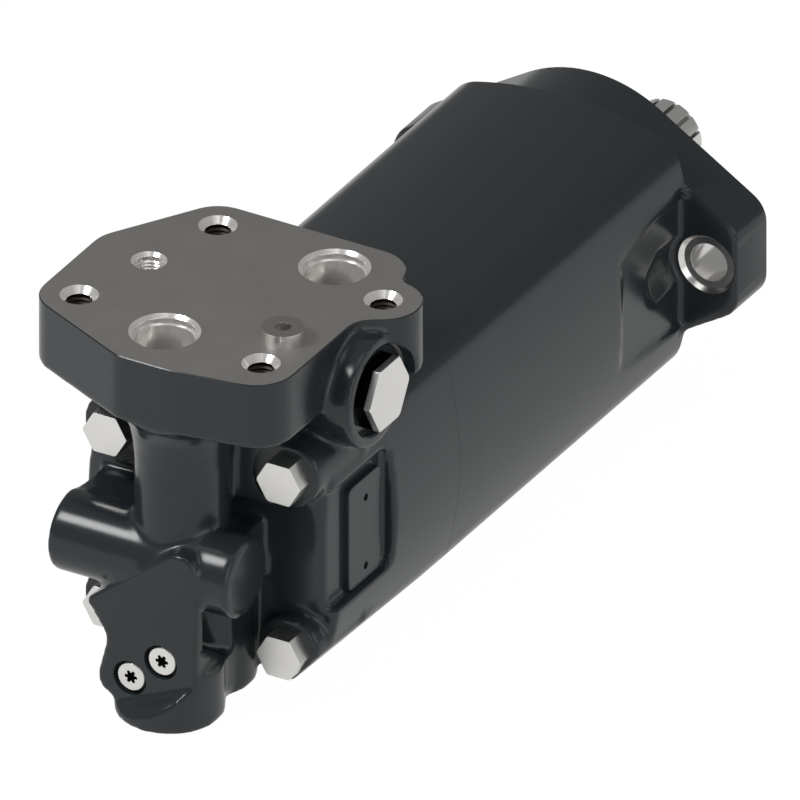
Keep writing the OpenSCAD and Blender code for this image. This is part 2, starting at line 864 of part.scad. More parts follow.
module shuttle_plug() {
  color(steel)
    difference() {
      union() {
        translate([-shuttle_x, -55, shuttle_z])
          rotate([-90, 0, 0])
            intersection() {
              cylinder(r = plug_af / sqrt(3), h = 7.3, $fn = 6);
              rotate_extrude($fn = 96)
                polygon([[0, 0], [plug_af / 2 + 1.2, 0], [plug_af / 2 + 2.2, 0.5], [plug_af / 2 + 2.2, 8], [0, 8]]);
            }
        bar_y(7.6, -50, -45.8, -shuttle_x, shuttle_z);
        bar_y(9.25, -45.9, -38.1, -shuttle_x, shuttle_z);
      }
      bar_y(5, -44, -37, -shuttle_x, shuttle_z);
    }
}

module ring_y(r, s, x, y, z) {
  translate([x, y, z])
    rotate([-90, 0, 0])
      rotate_extrude()
        translate([r, 0])
          circle(s, $fn = 32);
}

module shuttle_plug_seal() {
  color(rubber)
    ring_y(8.42, 0.78, -shuttle_x, -46.75, shuttle_z);
}

module shuttle_spring_left() {
  color(steel)
    translate([-shuttle_x, 3.6, shuttle_z])
      rotate([-90, 0, 0])
        coil(4.2, 1, 15.2, 6);
}

module shuttle_spring_right() {
  color(steel)
    translate([-shuttle_x, -43.9, shuttle_z])
      rotate([-90, 0, 0])
        coil(4.2, 1, 19.6, 7);
}

module shuttle_spool() {
  color(steel)
    difference() {
      bar_y(shuttle_r - 0.03, -24.2, 3.5, -shuttle_x, shuttle_z);
      for (y = [-18, -6])
        difference() {
          bar_y(shuttle_r + 1, y, y + 4.5, -shuttle_x, shuttle_z);
          bar_y(3.6, y - 1, y + 6, -shuttle_x, shuttle_z);
        }
    }
}

module selector_plug() {
  color(steel)
    difference() {
      union() {
        bar_y(8.5, 35.6, 41, -selector_x, 0);
        bar_y(7, 33.2, 36, -selector_x, 0);
      }
      translate([-selector_x, 36.9, 0])
        rotate([-90, 0, 0])
          cylinder(r = 4.6, h = 6, $fn = 6);
    }
}

module selector_plug_seal() {
  color(rubber)
    ring_y(7.78, 0.74, -selector_x, 34.4, 0);
}

module selector_spring() {
  color(steel)
    translate([-selector_x, -19.9, 0])
      rotate([-90, 0, 0])
        coil(4.9, 1.1, 18.6, 5);
}

module selector_spool() {
  color(steel)
    difference() {
      bar_y(selector_r - 0.03, -1.2, 32.8, -selector_x, 0);
      for (y = [3, 17])
        difference() {
          bar_y(selector_r + 1, y, y + 9, -selector_x, 0);
          bar_y(4, y - 1, y + 11, -selector_x, 0);
        }
    }
}

// pin-in-star plugs that close the two gallery drillings
module gallery_plugs() {
  color(steel)
    for (g = gallery_at)
      difference() {
        bar_x(5.45, -283, -277.6, g[0], g[1]);
        for (i = [0:2])
          translate([-284, g[0], g[1]])
            rotate([i * 60, 0, 0])
              cube([6, 1.7, 5.4], center = true);
      }
}

module check_balls() {
  color(steel)
    for (g = gallery_at)
      translate([-265.5, g[0], g[1]])
        sphere(2.9);
}

front_housing();
geroler_ring();
geroler_rollers();
valve_housing();
housing_bolts();
seam_seals();
front_bearing();
rear_bearing();
thrust_bearing();
shaft_seal();
backup_washer();
dust_seal();
retaining_ring();
valve_plate();
balance_ring();
balance_seal();
balance_springs();
locating_pin();
shuttle_plug();
shuttle_plug_seal();
shuttle_spring_left();
shuttle_spring_right();
selector_plug();
selector_plug_seal();
selector_spring();
gallery_plugs();
check_balls();
output_shaft();
drive_spacer();
rotor_star();
drive_link();
valve_drive();
disc_valve();
shuttle_spool();
selector_spool();
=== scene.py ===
import bpy
import bmesh
import json
import math
from mathutils import Matrix, Vector


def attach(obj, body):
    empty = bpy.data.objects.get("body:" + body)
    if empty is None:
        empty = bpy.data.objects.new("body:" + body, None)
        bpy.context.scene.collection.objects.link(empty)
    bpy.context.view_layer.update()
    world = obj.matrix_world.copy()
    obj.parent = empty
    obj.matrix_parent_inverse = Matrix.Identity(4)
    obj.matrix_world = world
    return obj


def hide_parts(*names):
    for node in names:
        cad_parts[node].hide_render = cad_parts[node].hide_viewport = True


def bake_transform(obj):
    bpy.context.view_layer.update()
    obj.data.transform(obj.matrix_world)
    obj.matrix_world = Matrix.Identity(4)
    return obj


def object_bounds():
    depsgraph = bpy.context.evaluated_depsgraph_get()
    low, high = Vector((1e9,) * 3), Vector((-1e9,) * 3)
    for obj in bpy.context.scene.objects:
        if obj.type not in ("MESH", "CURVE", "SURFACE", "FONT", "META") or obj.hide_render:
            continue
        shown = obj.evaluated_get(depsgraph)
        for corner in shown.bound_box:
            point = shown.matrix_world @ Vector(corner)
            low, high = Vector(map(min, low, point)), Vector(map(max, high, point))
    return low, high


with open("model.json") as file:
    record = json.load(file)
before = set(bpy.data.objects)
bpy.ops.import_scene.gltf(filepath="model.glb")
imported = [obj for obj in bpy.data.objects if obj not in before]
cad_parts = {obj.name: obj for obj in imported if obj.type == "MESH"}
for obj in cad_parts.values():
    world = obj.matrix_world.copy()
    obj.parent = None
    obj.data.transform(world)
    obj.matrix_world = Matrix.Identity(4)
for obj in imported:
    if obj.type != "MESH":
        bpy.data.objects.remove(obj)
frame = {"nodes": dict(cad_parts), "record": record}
cad_low, cad_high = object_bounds()
nodes = frame["nodes"]
scene = bpy.context.scene
MM = 0.001


# ---------- shader maths ----------

class Val:
    """A shader socket that does arithmetic by adding Math nodes to its tree."""

    def __init__(self, tree, socket):
        self.tree, self.socket = tree, socket

    def _op(self, operation, a, b):
        n = self.tree.nodes.new("ShaderNodeMath")
        n.operation = operation
        for i, v in enumerate((a, b)):
            if isinstance(v, Val):
                self.tree.links.new(v.socket, n.inputs[i])
            else:
                n.inputs[i].default_value = v
        return Val(self.tree, n.outputs[0])

    def __add__(self, o):
        return self._op("ADD", self, o)

    def __radd__(self, o):
        return self._op("ADD", o, self)

    def __sub__(self, o):
        return self._op("SUBTRACT", self, o)

    def __rsub__(self, o):
        return self._op("SUBTRACT", o, self)

    def __mul__(self, o):
        return self._op("MULTIPLY", self, o)

    def __rmul__(self, o):
        return self._op("MULTIPLY", o, self)

    def __pow__(self, o):
        return self._op("POWER", self, o)

    def over(self, o):
        return self._op("GREATER_THAN", self, o)

    def clamp(self):
        return self._op("MAXIMUM", self._op("MINIMUM", self, 1.0), 0.0)


class Finish:
    """A procedural material: one Principled surface and the nodes that drive it."""

    def __init__(self, name, **fixed):
        self.material = bpy.data.materials.new(name)
        self.material.use_nodes = True
        self.tree = self.material.node_tree
        self.tree.nodes.clear()
        self.out = self.tree.nodes.new("ShaderNodeOutputMaterial")
        self.surface = self.tree.nodes.new("ShaderNodeBsdfPrincipled")
        self.tree.links.new(self.surface.outputs[0], self.out.inputs[0])
        for key, value in fixed.items():
            self.surface.inputs[key.replace("_", " ")].default_value = value

    def node(self, kind, settings=None, out=0, **sockets):
        """Adds a node and gives one of its outputs; _6 stands for the input of that number."""
        n = self.tree.nodes.new(kind)
        for key, value in (settings or {}).items():
            setattr(n, key, value)
        for key, value in sockets.items():
            socket = n.inputs[int(key[1:]) if key[0] == "_" else key.replace("_", " ")]
            if isinstance(value, Val):
                self.tree.links.new(value.socket, socket)
            else:
                socket.default_value = value
        return Val(self.tree, n.outputs[out])

    def noise(self, scale, detail, rough=0.5, stretch=(1, 1, 1)):
        """Noise on the object's own coordinates; the scale is in waves per metre."""
        place = self.node("ShaderNodeTexCoord", out="Object")
        place = self.node("ShaderNodeMapping", Vector=place, Scale=stretch)
        return self.node("ShaderNodeTexNoise", Vector=place, Scale=scale, Detail=detail, Roughness=rough)

    def coordinate(self, axis):
        """One coordinate of the surface in millimetres."""
        place = self.node("ShaderNodeTexCoord", out="Object")
        return self.node("ShaderNodeSeparateXYZ", out=axis, Vector=place) * (1 / MM)

    def blend(self, mask, a, b):
        """The first colour where the mask is 0, the second where it is 1."""
        return self.node("ShaderNodeMix", {"data_type": "RGBA"}, out=2, Factor=mask, _6=a, _7=b)

    def soft_edge(self, radius):
        return self.node("ShaderNodeBevel", {"samples": 6}, Radius=radius)

    def edge_mask(self, radius, gain):
        """1 along an edge, 0 on a flat, from how far the rounded normal leans."""
        round_normal = self.soft_edge(radius)
        true_normal = self.node("ShaderNodeNewGeometry", out="True Normal")
        lean = self.node("ShaderNodeVectorMath", {"operation": "DOT_PRODUCT"}, out="Value",
                         _0=round_normal, _1=true_normal)
        return ((1.0 - lean) * gain).clamp()

    def bump(self, height, strength, distance, base=None):
        sockets = dict(Height=height, Strength=strength, Distance=distance)
        if base is not None:
            sockets["Normal"] = base
        return self.node("ShaderNodeBump", **sockets)

    def drive(self, **sockets):
        for key, value in sockets.items():
            self.tree.links.new(value.socket, self.surface.inputs[key.replace("_", " ")])
        return self.material


def rgb(colour, factor=1.0):
    """A colour for a socket, made lighter or darker by a factor."""
    return (*[min(1, c * factor) for c in colour], 1.0)


# ---------- finishes ----------

def cast_paint(name, base, rough, grain):
    """Satin paint on a sand casting: faint clouds, fine grain, and paler edges that are a painted highlight.
    """
    f = Finish(name, IOR=1.42, Metallic=0.0)
    broad = f.noise(24, 3)
    fine = f.noise(520, 3, 0.55)
    # the edges are lit paler and speckled: a painted highlight
    edge = f.edge_mask(0.0010, 2.0)
    tone = f.blend(broad, rgb(base, 0.93), rgb(base, 1.07))
    colour = f.blend(edge * fine * 0.35, tone, rgb(base, 1.7))
    sheen = rough + (broad - 0.5) * 0.05 + (fine - 0.5) * 0.04
    sand = f.noise(900, 2, 0.6) * 0.3 + f.noise(150, 2, 0.5)
    normal = f.bump(sand, grain, 0.0002, f.soft_edge(0.00022))
    return f.drive(Base_Color=colour, Roughness=sheen, Normal=normal)


def machined(name, base, rough, stretch, lines=0.12, cloudy=0.1, edge=0.0003, painted_shade_or_finish=None, metal=1.0):
    """Cut or plated metal with tool marks that run across the stretched axes, and paler edges that are a
    painted highlight.

    An optional mask by place, as below, with the colour that it gives: painted shade down in a recess or
    groove, or a face's own finish.
    """
    f = Finish(name, IOR=1.5, Metallic=metal)
    streak = f.noise(90, 4, 0.6, stretch)
    cloud = f.noise(35, 3)
    # the edges are lit paler: a painted highlight
    painted_edge_highlight = f.edge_mask(0.0005, 2.5)
    tone = f.blend(cloud, rgb(base, 1 - cloudy), rgb(base, 1 + cloudy))
    colour = f.blend(painted_edge_highlight * 0.5, tone, rgb(base, 1.3))
    # a patch by place: painted shade in a recess or groove, or a face's own finish
    if painted_shade_or_finish:
        mask, dark = painted_shade_or_finish
        colour = f.blend(mask(f), colour, rgb(dark))
    sheen = rough + (streak - 0.5) * 0.16 + (cloud - 0.5) * cloudy
    normal = f.bump(streak, lines, 0.0001, f.soft_edge(edge))
    return f.drive(Base_Color=colour, Roughness=sheen, Normal=normal)


def rubber(name):
    f = Finish(name, Metallic=0.0)
    fine = f.noise(700, 3)
    tone = f.blend(fine, rgb((0.012, 0.012, 0.013)), rgb((0.03, 0.03, 0.032)))
    return f.drive(Base_Color=tone, Roughness=0.52 + fine * 0.2, Normal=f.bump(fine, 0.15, 0.0002))


PIN_TOP_Z = 84.05
PLUG_ROOT_Y = -52.6
SPLINE_ROOT_R = 12.25
SPLINE_START, SPLINE_END = 14.0, 47.7


def pin_top(f):
    """The pin's end, which is milled with the port face."""
    return f.coordinate("Z").over(PIN_TOP_Z)


def plug_recess_shade(f):
    """The part of the large plug down in its recess, which is painted near black as shade."""
    return f.coordinate("Y").over(PLUG_ROOT_Y)


def shaft_groove_shade(f):
    """The bottoms between the shaft's splines, which are painted a darker grey as shade."""
    y, z = f.coordinate("Y"), f.coordinate("Z")
    deep = 1.0 - ((y * y + z * z) ** 0.5).over(SPLINE_ROOT_R)
    return deep * f.coordinate("X").over(SPLINE_START) * (1.0 - f.coordinate("X").over(SPLINE_END))


CHARCOAL = (0.021, 0.026, 0.0295)
FACE_GREY = (0.36, 0.35, 0.335)
# painted shade in the bottoms between the shaft's splines
GROOVE_SHADE_GREY = (0.34, 0.33, 0.32)
# painted shade for the large plug down in its recess
RECESS_SHADE_BLACK = (0.02, 0.02, 0.02)
BRIGHT = (0.86, 0.84, 0.82)
ZINC = (0.78, 0.77, 0.75)
GROUND = (0.74, 0.73, 0.71)

case_paint = cast_paint("case_paint", CHARCOAL, 0.20, 0.05)
ring_paint = cast_paint("ring_paint", CHARCOAL, 0.22, 0.03)
face_steel = machined("face_steel", FACE_GREY, 0.6, (1, 1, 1), lines=0.02, cloudy=0.03, edge=0.00015)
bore_steel = machined("bore_steel", BRIGHT, 0.2, (1, 1, 12), lines=0.04, cloudy=0.04, metal=0.72)
ear_steel = machined("ear_steel", GROUND, 0.2, (12, 1, 1), lines=0.04, cloudy=0.04)
# dark steel for the threads and the plug sockets: painted shade deep in the holes
hole_shade_steel = machined("hole_shade_steel", (0.06, 0.053, 0.045), 0.55, (1, 1, 12), lines=0.1)
plug_steel = machined("plug_steel", ZINC, 0.32, (5, 5, 5), lines=0.08)
# the large plug's steel, painted near black as shade where it sits down in its recess
boss_plug_steel_painted_shade = machined("boss_plug_steel_painted_shade", ZINC, 0.32, (5, 5, 5), lines=0.08,
                           painted_shade_or_finish=(plug_recess_shade, RECESS_SHADE_BLACK))
FINISH = {
    "case_paint": case_paint,
    "ring_paint": ring_paint,
    "hard_steel": machined("hard_steel", (0.62, 0.62, 0.61), 0.22, (1, 30, 30)),
    "ground_steel": machined("ground_steel", (0.58, 0.58, 0.57), 0.28, (2, 14, 14)),
    "plain_steel": machined("plain_steel", (0.50, 0.50, 0.49), 0.36, (16, 2, 2)),
    "bolt_steel": machined("bolt_steel", (0.78, 0.77, 0.74), 0.34, (6, 6, 6), lines=0.08),
    "plug_steel": plug_steel,
    "pin_steel": machined("pin_steel", GROUND, 0.34, (1, 1, 14), lines=0.06, cloudy=0.05, edge=0.0002,
                          painted_shade_or_finish=(pin_top, FACE_GREY)),
    # the bottoms between the splines are painted darker grey as shade
    "shaft_steel": machined("shaft_steel", (0.70, 0.69, 0.67), 0.30, (14, 1, 1), lines=0.06, cloudy=0.05,
                            painted_shade_or_finish=(shaft_groove_shade, GROOVE_SHADE_GREY)),
    "link_steel": machined("link_steel", (0.36, 0.36, 0.37), 0.40, (2, 10, 10)),
    "spring_steel": machined("spring_steel", (0.40, 0.40, 0.40), 0.32, (8, 8, 8)),
    "ring_bronze": machined("ring_bronze", (0.62, 0.42, 0.20), 0.34, (16, 2, 2)),
    "seal_rubber": rubber("seal_rubber"),
}
slots = {s["node"]: s.get("material_slot", s["node"]) for s in frame["record"]["subparts"]}
for name, obj in nodes.items():
    obj.data.materials.clear()
    obj.data.materials.append(FINISH[slots[name]])
nodes["shuttle_plug"].data.materials[0] = boss_plug_steel_painted_shade


# ---------- shaping: all measures in millimetres ----------

TURN = {  # turns the z axis onto another one
    "x": Matrix.Rotation(math.pi / 2, 4, "Y"),
    "y": Matrix.Rotation(-math.pi / 2, 4, "X"),
    "z": Matrix.Identity(4),
}
CENTRE = (0, 0, 0)
FINE = 96  # steps round a large bore, where a small one has 72
SHARP = 32  # degrees between two faces that make an edge


def turned(axis, place, profile, steps=72):
    """A closed turned solid from points of radius and height, set along an axis."""
    bm = bmesh.new()
    verts = [bm.verts.new((r * MM, 0, h * MM)) for r, h in profile]
    edges = [bm.edges.new(pair) for pair in zip(verts, verts[1:])]
    bmesh.ops.spin(bm, geom=verts + edges, cent=CENTRE, axis=(0, 0, 1), angle=math.tau, steps=steps,
                   use_merge=True)
    bmesh.ops.remove_doubles(bm, verts=bm.verts, dist=2e-6)
    bmesh.ops.recalc_face_normals(bm, faces=bm.faces)
    bmesh.ops.transform(bm, matrix=Matrix.Translation(Vector(place) * MM) @ TURN[axis], verts=bm.verts)
    return bm


def bar(axis, radius, start, end, a=0.0, b=0.0, steps=72):
    """A round bar from start to end along an axis; a and b are its other two coordinates."""
    place = {"x": (0, a, b), "y": (a, 0, b), "z": (a, b, 0)}[axis]
    return turned(axis, place, [(0, start), (radius, start), (radius, end), (0, end)], steps)


def box(low, high):
    """A block between two corners."""
    bm = bmesh.new()
    bmesh.ops.create_cube(bm, size=1.0)
    size = [h - l for l, h in zip(low, high)]
    middle = [(h + l) / 2 for l, h in zip(low, high)]
    bmesh.ops.scale(bm, vec=Vector(size) * MM, verts=bm.verts)
    bmesh.ops.translate(bm, vec=Vector(middle) * MM, verts=bm.verts)
    return bm


def soften(bm, edges, width, segments):
    bmesh.ops.bevel(bm, geom=edges, offset=width * MM, offset_type="OFFSET", affect="EDGES",
                    segments=segments, profile=0.5, material=-1)


def along_y(bm):
    """The edges of an upright block that run into its depth."""
    return [e for e in bm.edges if abs((e.verts[0].co - e.verts[1].co).y) > 2 * MM]


def joined(parts):
    whole = bmesh.new()
    for bm in parts:
        mesh = bpy.data.meshes.new("part")
        bm.to_mesh(mesh)
        bm.free()
        whole.from_mesh(mesh)
        bpy.data.meshes.remove(mesh)
    return whole


def piece(name, bm, finishes, angle=SHARP):
    mesh = bpy.data.meshes.new(name)
    bm.to_mesh(mesh)
    bm.free()
    obj = bpy.data.objects.new(name, mesh)
    scene.collection.objects.link(obj)
    for finish in finishes:
        mesh.materials.append(finish)
    shade(mesh, angle)
    return obj


def grab(obj):
    """Takes an object's shape back and removes the object."""
    bm = bmesh.new()
    bm.from_mesh(obj.data)
    held = obj.data
    bpy.data.objects.remove(obj)
    bpy.data.meshes.remove(held)
    return bm


def shade(mesh, angle):
    mesh.shade_smooth()
    mesh.set_sharp_from_angle(angle=math.radians(angle))


def settle(obj):
    """Turns the object's modifiers into its mesh."""
    held = obj.data
    obj.data = bpy.data.meshes.new_from_object(obj.evaluated_get(bpy.context.evaluated_depsgraph_get()))
    obj.modifiers.clear()
    bpy.data.meshes.remove(held)


def carve(obj, parts, operation="DIFFERENCE"):
    for bm in parts:
        tool = piece("carving_tool", bm, [])
        cut = obj.modifiers.new("carve", "BOOLEAN")
        cut.operation, cut.solver, cut.object = operation, "MANIFOLD", tool
        settle(obj)
        held = tool.data
        bpy.data.objects.remove(tool)
        bpy.data.meshes.remove(held)


def merged_copy(name):
    bm = bmesh.new()
    bm.from_mesh(nodes[name].data)
    bmesh.ops.remove_doubles(bm, verts=bm.verts, dist=1e-6)
    return bm


def drop_loose(bm):
    """Removes what a convex hull leaves inside."""
    bmesh.ops.delete(bm, geom=[v for v in bm.verts if not v.link_faces], context="VERTS")
    bmesh.ops.delete(bm, geom=[e for e in bm.edges if not e.link_faces], context="EDGES")
    bmesh.ops.recalc_face_normals(bm, faces=bm.faces)


STOCK = 4  # what a machined face has too much until it is cut


def draw_out(bm, normal, level):
    """Extrudes the flat face that looks along a direction at a level, to be cut crisp later."""
    normal = Vector(normal)
    flat = [f for f in bm.faces
            if f.normal.dot(normal) > 0.999 and f.calc_center_median().dot(normal) > (level - 0.02) * MM]
    grown = bmesh.ops.extrude_face_region(bm, geom=flat)["geom"]
    ahead = [v for v in grown if isinstance(v, bmesh.types.BMVert)]
    bmesh.ops.translate(bm, vec=normal * STOCK * MM, verts=ahead)
    bmesh.ops.delete(bm, geom=flat, context="FACES")


def slice_off(bm, normal, level):
    """Cuts away what lies past a level along a direction and closes the cut flat."""
    normal = Vector(normal)
    cut = bmesh.ops.bisect_plane(bm, geom=bm.verts[:] + bm.edges[:] + bm.faces[:],
                                 plane_co=normal * level * MM, plane_no=normal, clear_outer=True)["geom_cut"]
    bmesh.ops.edgeloop_fill(bm, edges=[e for e in cut if isinstance(e, bmesh.types.BMEdge)])


def recast(name, bm, voxel, rounds, finishes):
    """Melts a solid into one skin and rounds its edges as a sand casting has them."""
    obj = piece(name, bm, [])
    melt = obj.modifiers.new("melt", "REMESH")
    melt.mode, melt.voxel_size = "VOXEL", voxel * MM
    flow = obj.modifiers.new("flow", "SMOOTH")
    flow.factor, flow.iterations = 0.5, rounds
    settle(obj)
    for finish in finishes:
        obj.data.materials.append(finish)
    return obj


def reopen(obj, *cuts):
    """Cuts the machined faces crisp; a third value is the small chamfer round such a face."""
    bm = bmesh.new()
    bm.from_mesh(obj.data)
    for normal, level, chamfer in cuts:
        slice_off(bm, normal, level)
        if chamfer:
            rim = max(bm.faces, key=lambda f: f.calc_area())
            soften(bm, rim.edges[:], chamfer, 1)
    bm.to_mesh(obj.data)
    bm.free()


def dress(obj, rules):
    """Gives each face the finish of the last rule that its middle and normal pass."""
    mesh = obj.data
    rules = [(mesh.materials.find(finish.name), test) for finish, test in rules]
    for face in mesh.polygons:
        middle = face.center / MM
        for index, test in rules:
            if test(middle, face.normal):
                face.material_index = index
    shade(mesh, SHARP)


def within(centres, a, b, radius):
    """Whether a point lies inside a circle round one of the centres."""
    return any(math.hypot(a - u, b - v) < radius for u, v in centres)


# ---------- valve casting ----------

PORT_Z = 79.4  # port face
SEAM_REAR = -169.5  # joint with the rear of the geroler ring
HEAD_SEAT = -254.7  # spot faces of the through bolts
BLOCK_X = -284  # front of the lower block
TAPS = [(-195.7, 27.7), (-257, 44.1), (-266, -29), (-210.7, -42.7)]  # x, y
PORTS = [(-200.2, -18.5), (-263.7, 8.3)]  # x, y
DRAIN = (-226.6, 35.6)  # x, y
PIN = (-249, -27.4)  # x, y
GALLERIES = [(9.2, -39.8), (-2.3, -30.8)]  # y, z
BOLTS = [(y, z) for y in (-32.4, 32.4) for z in (-32.4, 32.4)]
SHUTTLE = (-227.7, 56.1)  # x, z
SELECTOR = (-270, 0)  # x, z

TAP_R, TAP_CREST_R, TAP_MOUTH_R = 4.25, 4.95, 6.4
DRAIN_R, DRAIN_CREST_R, DRAIN_MOUTH_R = 4.7, 5.3, 5.95
PASSAGE_R, PORT_R, PORT_SEAT_R, PORT_MOUTH_R = 6.5, 9.9, 10.6, 11.85
PORT_DEPTH, PASSAGE_DEPTH = 16, 50
BOLT_HOLE_R = 5
HEAD_ROOM_R, TIGHT_HEAD_ROOM_R = 12.4, 9.3
SEAL_GROOVE = (37, 39.6)  # inner and outer radius, in both seams
SEAL_DEPTH = 1.5
CLEAR = 5  # how far a cutting tool stands out of its hole

PAD_X = -224.1  # the two blind holes of the pad
PAD_HOLES_Z = (12.7, -12.7)

VALVE_VOXEL = 0.9
BOSS_TRIM = (-0.0223, -0.7558, -0.6548)  # the side of the lower right bolt boss looks this way
BOSS_TRIM_LEVEL = 59.85
BOSS_CONE = [(0, -226), (12.4, -226), (6, -182), (0, -182)]
NECK_FLARE = [(0, 34), (15.7, 34), (16.2, 42), (17.4, 48), (19.4, 52.5), (21.5, 55.6), (0, 55.6)]

BLOCK_PROUD = 0.8  # the melt rounds this much off the block's front
BLOCK_CORNERS = ((23, -15.6, 2.2), (-8.9, 3.6, 7))  # y, z and radius
BLOCK_FOOT = ((-15.72, -24), (19.3, -22))  # y, z


def thread(core, crest, low, high, pitch):
    """Points of a threaded wall from low to high, as the ring grooves a tap leaves."""
    turns = int((high - low) / pitch)
    points = []
    for i in range(turns):
        points += [(core, low + i * pitch + 0.1), (crest, low + (i + 0.5) * pitch)]
    return points + [(core, high)]


def trunk(start, end):
    """The plain body section between two stations, from the ring that has it."""
    bm = merged_copy("geroler_ring")
    ring_middle = -162.5
    for v in bm.verts:
        v.co.x = (start if v.co.x / MM < ring_middle else end) * MM
    return bm


def seal_groove(start, end):
    inner, outer = SEAL_GROOVE
    section = [(inner, start), (outer, start), (outer, end), (inner, end), (inner, start)]
    return turned("x", CENTRE, section, FINE)


def gallery_rim(edge):
    """Whether an edge of the block's front belongs to the recess of a small plug."""
    return all(within(GALLERIES, v.co.y / MM, v.co.z / MM, 6.4) for v in edge.verts)


def block_slab():
    """The flat face of the lower block as a slab that stands a little ahead of it."""
    bm = merged_copy("valve_housing")
    rest = [f for f in bm.faces
            if f.normal.x > -0.999 or abs(f.calc_center_median().x / MM - BLOCK_X) > 0.01]
    bmesh.ops.delete(bm, geom=rest, context="FACES")
    rims = [e for e in bm.edges if e.is_boundary and gallery_rim(e)]
    bmesh.ops.holes_fill(bm, edges=rims, sides=0)
    grown = bmesh.ops.extrude_face_region(bm, geom=bm.faces[:], use_keep_orig=True)["geom"]
    ahead = [v for v in grown if isinstance(v, bmesh.types.BMVert)]
    sunk = 3
    bmesh.ops.translate(bm, vec=(sunk * MM, 0, 0), verts=bm.verts)
    bmesh.ops.translate(bm, vec=(-(sunk + BLOCK_PROUD) * MM, 0, 0), verts=ahead)
    bmesh.ops.recalc_face_normals(bm, faces=bm.faces)
    return bm


def block_front():
    """The crisp upper front of the lower block, with a rounded rim."""
    bm = bmesh.new()
    front_x, back_x = BLOCK_X - 0.86, -281
    for x in (front_x, back_x):
        for y, z, r in BLOCK_CORNERS:
            turn = Matrix.Translation(Vector((x, y, z)) * MM) @ TURN["x"]
            bmesh.ops.create_circle(bm, cap_ends=False, segments=48, radius=r * MM, matrix=turn)
        for y, z in BLOCK_FOOT:
            bm.verts.new(Vector((x, y, z)) * MM)
    bmesh.ops.convex_hull(bm, input=bm.verts[:])
    drop_loose(bm)
    bmesh.ops.dissolve_limit(bm, angle_limit=0.01, verts=bm.verts, edges=bm.edges)
    front = [e for e in bm.edges if all(v.co.x / MM < front_x + 0.06 for v in e.verts)]
    foot_z = -21.5
    rim = [e for e in front if not all(v.co.z / MM < foot_z for v in e.verts)]
    soften(bm, rim, 1.5, 4)
    return bm


def name_pocket():
    bm = box((-249.5, -52, -18.5), (-211, -42, 25.5))
    soften(bm, along_y(bm), 4, 4)
    return bm


def valve_plugs():
    """Bars that close every bore, so that the melt only rounds the outside."""
    top, seam = PORT_Z + STOCK, SEAM_REAR + STOCK
    rows = [  # axis, radius, start, end, centres
        ("x", 34, -205, seam, [(0, 0)]),  # disc valve
        ("x", 5, -272, -203, [(0, 0)]),  # passage behind it
        ("x", 5.4, HEAD_SEAT, seam, BOLTS),
        ("z", 6.7, 60, top, TAPS),
        ("z", 12.1, 62, top, PORTS),
        ("z", 6.9, 5, 70, PORTS),  # port passages
        ("z", 6.2, 60, top, [DRAIN]),
        ("z", 3.2, 34, 66, [DRAIN]),  # drain passage
        ("z", 5.9, 69, top, [PIN]),
        ("y", 15.8, -50.7, -46, [SHUTTLE]),  # recess of the large plug
        ("y", 9.5, -48, -36, [SHUTTLE]),  # its thread
        ("y", 6.3, -47, 20, [SHUTTLE]),  # spool bore
        ("y", 7, -21, 41, [SELECTOR]),  # spool bore
        ("y", 8.9, 32, 41, [SELECTOR]),  # plug at its end
        ("x", 5.7, BLOCK_X, -276, GALLERIES),  # small plugs
        ("x", 3.3, -280, -261, GALLERIES),  # galleries
    ]
    return [bar(axis, radius, start, end, a, b)
            for axis, radius, start, end, centres in rows for a, b in centres]


def valve_additions():
    """Body, flowing bosses and webs that the melt joins to the solid."""
    parts = [trunk(-246.5, -172), bar("x", 36.5, -246, -171, steps=FINE)]
    parts += [turned("x", (0, y, z), BOSS_CONE) for y, z in BOLTS]
    parts.append(turned("z", (-264, 1.4, 0), NECK_FLARE))
    # web to the left end of the cross cylinder
    parts.append(box((-271, 15, -11.5), (-246, 40.2, 12.6)))
    # front wall of the lower block
    parts += [box((BLOCK_X - BLOCK_PROUD, -15.6, -36), (-281, -5, -5)), block_slab()]
    return parts


def bolt_room(y, z):
    """A bolt's hole with its spot face; the lower left one lies close to the block."""
    room = TIGHT_HEAD_ROOM_R if y > 0 > z else HEAD_ROOM_R
    return turned("x", (0, y, z), [(0, -280), (room, -280), (room, HEAD_SEAT), (BOLT_HOLE_R, HEAD_SEAT),
                                   (BOLT_HOLE_R, -160), (0, -160)])


